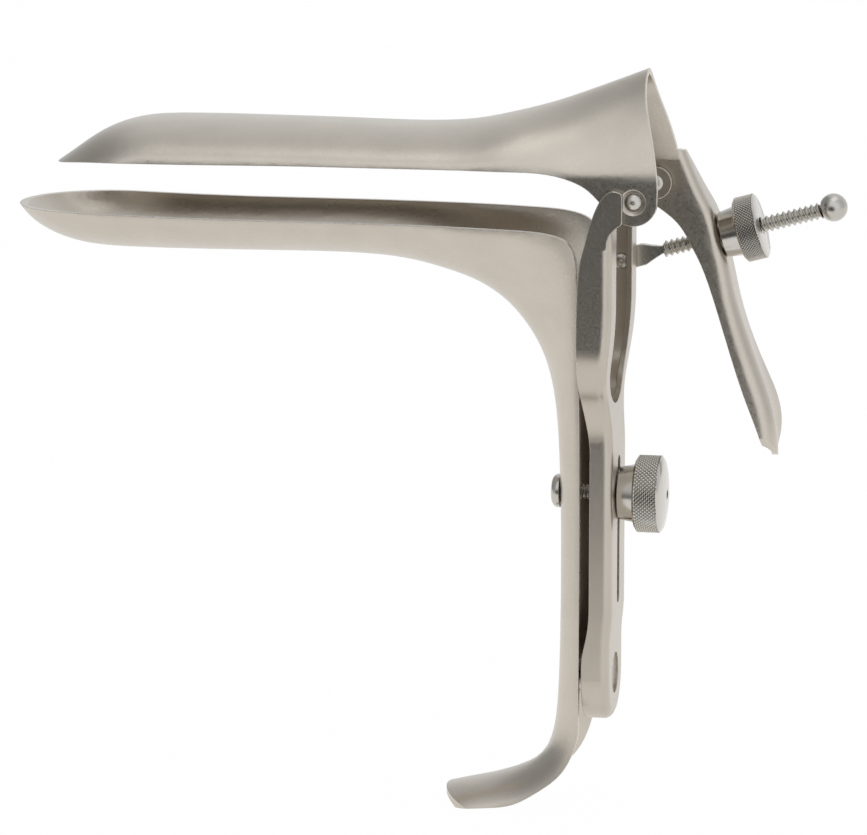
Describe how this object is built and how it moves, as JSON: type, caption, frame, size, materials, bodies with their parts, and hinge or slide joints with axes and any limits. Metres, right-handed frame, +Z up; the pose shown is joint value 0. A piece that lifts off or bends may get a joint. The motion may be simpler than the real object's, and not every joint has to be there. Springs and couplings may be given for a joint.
{
  "type": "bivalve_speculum",
  "caption": "bivalve speculum of satin stainless steel: two trough blades hinged at the rear on a slotted sliding yoke, with a curled handle, a thumb lever and two knurled nuts that hold the opening",
  "frame": {"origin": "the middle of the hinge axis between the two ears, at the rear end of the blades", "axes": "+Z up, -X along the blades to their tips, +X to the viewing side, the handle hangs down -Z, +Y is the side of the thumb lever and the opening screw"},
  "size_m": [0.1701, 0.0477, 0.1542],
  "materials": {
    "satin_steel": "satin",
    "yoke_steel": "satin",
    "rivet_steel": "satin",
    "screw_steel": "satin",
    "knurled_steel": "knurled",
    "polished_steel": "polished"
  },
  "bodies": {
    "lower_jaw": {"lower_blade": "satin_steel", "clamp_screw": "screw_steel"},
    "yoke_frame": {"yoke": "yoke_steel", "near_pivot_rivet": "rivet_steel", "far_pivot_rivet": "rivet_steel", "screw_pivot_rivet": "rivet_steel", "guide_stud": "polished_steel"},
    "upper_jaw": {"upper_blade": "satin_steel"},
    "swing_screw": {"opening_screw": "screw_steel", "screw_end_ball": "polished_steel"},
    "opening_nut": {"opening_nut": "knurled_steel"},
    "clamp_nut": {"clamp_nut": "knurled_steel"}
  },
  "joints": [
    {"name": "yoke_slide", "type": "slide", "parent": "lower_jaw", "child": "yoke_frame", "axis": [0, 0, 1], "range_m": [-0.006, 0.0205]},
    {"name": "blade_hinge", "type": "hinge", "parent": "yoke_frame", "child": "upper_jaw", "pos_m": [0, 0, 0], "axis": [0, 1, 0], "range_deg": [-1.5, 28]},
    {"name": "screw_swing", "type": "hinge", "parent": "yoke_frame", "child": "swing_screw", "pos_m": [-0.0074, 0.0192, -0.0169], "axis": [0, 1, 0], "range_deg": [-1, 13]},
    {"name": "nut_travel", "type": "slide", "parent": "swing_screw", "child": "opening_nut", "axis": [0.9641, 0, 0.2656], "range_m": [-0.0061, 0.0005]},
    {"name": "clamp_nut_spin", "type": "hinge", "parent": "lower_jaw", "child": "clamp_nut", "pos_m": [0, 0, -0.0625], "axis": [1, 0, 0], "continuous": true}
  ],
  "couplings": [
    {"joint": "screw_swing", "follows": "blade_hinge", "ratio": 0.445},
    {"joint": "nut_travel", "follows": "blade_hinge", "m_per_rad": -0.012}
  ]
}
